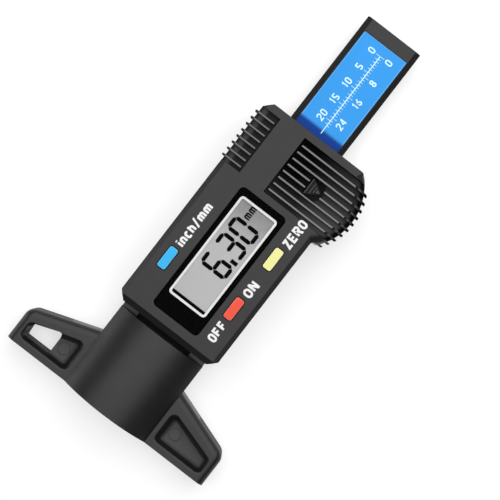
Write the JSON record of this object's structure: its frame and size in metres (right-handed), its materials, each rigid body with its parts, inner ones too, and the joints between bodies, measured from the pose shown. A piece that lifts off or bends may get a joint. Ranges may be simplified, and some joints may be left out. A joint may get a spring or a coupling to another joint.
{
  "type": "tire tread depth gauge",
  "caption": "T-shaped digital tread depth gauge: a sliding beam drives a probe pin out of a wide foot, and a display housing shows how far it reaches.",
  "frame": {"origin": "middle of the foot's measuring face, at the plane of the flat back", "axes": "+X across the gauge towards the battery bulge, +Y along the beam away from the measuring face, +Z out of the display"},
  "size_m": [0.06, 0.1163, 0.0153],
  "materials": {
    "cover_plastic": "fine moulded texture, dark grey",
    "rear_plastic": "fine moulded texture, dark grey",
    "lid_plastic": "ribbed, fine moulded texture",
    "foot_plastic": "semi-matte moulded",
    "beam_plastic": "semi-matte moulded",
    "window_clear": "clear acrylic",
    "window_print": "black printed film",
    "lcd_glass": "grey display glass",
    "frame_plastic": "white moulded frame",
    "zebra_rubber": "layered conductive rubber",
    "board_laminate": "green solder mask",
    "chip_resin": "black resin drop",
    "component_mix": "small electronic parts",
    "blue_button": "satin blue",
    "red_button": "satin red",
    "yellow_button": "satin pale yellow",
    "dome_steel": "thin sprung steel",
    "cell_steel": "nickel-plated steel",
    "contact_brass": "plated brass sheet",
    "spring_bronze": "phosphor bronze strip",
    "scale_laminate": "laminate with copper pads",
    "label_film": "printed blue film",
    "probe_steel": "polished steel",
    "screw_steel": "blackened steel"
  },
  "bodies": {
    "housing": {"front_cover": "cover_plastic", "rear_shell": "rear_plastic", "housing_screws": "screw_steel", "window_mask": "window_print", "window_lens": "window_clear", "lcd_panel": "lcd_glass", "lcd_frame": "frame_plastic", "zebra_strips": "zebra_rubber", "main_board": "board_laminate", "board_screws": "screw_steel", "controller_chip": "chip_resin", "board_components": "component_mix", "dome_unit": "dome_steel", "dome_power": "dome_steel", "dome_zero": "dome_steel", "coin_cell": "cell_steel", "negative_contact": "contact_brass", "positive_contact": "contact_brass", "gib_spring": "spring_bronze", "foot_base": "foot_plastic"},
    "beam_group": {"beam": "beam_plastic", "scale_strip": "scale_laminate", "beam_label": "label_film", "probe_pin": "probe_steel", "beam_stop_pin": "screw_steel"},
    "unit_button": {"button_unit": "blue_button"},
    "power_button": {"button_power": "red_button"},
    "zero_button": {"button_zero": "yellow_button"},
    "battery_lid": {"battery_cover": "lid_plastic"}
  },
  "joints": [
    {"name": "beam_slide", "type": "slide", "parent": "housing", "child": "beam_group", "axis": [0, -1, 0], "range_m": [0, 0.0254]},
    {"name": "unit_press", "type": "slide", "parent": "housing", "child": "unit_button", "axis": [0, 0, -1], "range_m": [0, 0.0005], "stiffness_N_per_m": 1500, "springref_m": -0.0003, "deforming": ["dome_unit"]},
    {"name": "power_press", "type": "slide", "parent": "housing", "child": "power_button", "axis": [0, 0, -1], "range_m": [0, 0.0005], "stiffness_N_per_m": 1500, "springref_m": -0.0003, "deforming": ["dome_power"]},
    {"name": "zero_press", "type": "slide", "parent": "housing", "child": "zero_button", "axis": [0, 0, -1], "range_m": [0, 0.0005], "stiffness_N_per_m": 1500, "springref_m": -0.0003, "deforming": ["dome_zero"]},
    {"name": "battery_cover_slide", "type": "slide", "parent": "housing", "child": "battery_lid", "axis": [1, 0, 0], "range_m": [0, 0.0215]}
  ]
}
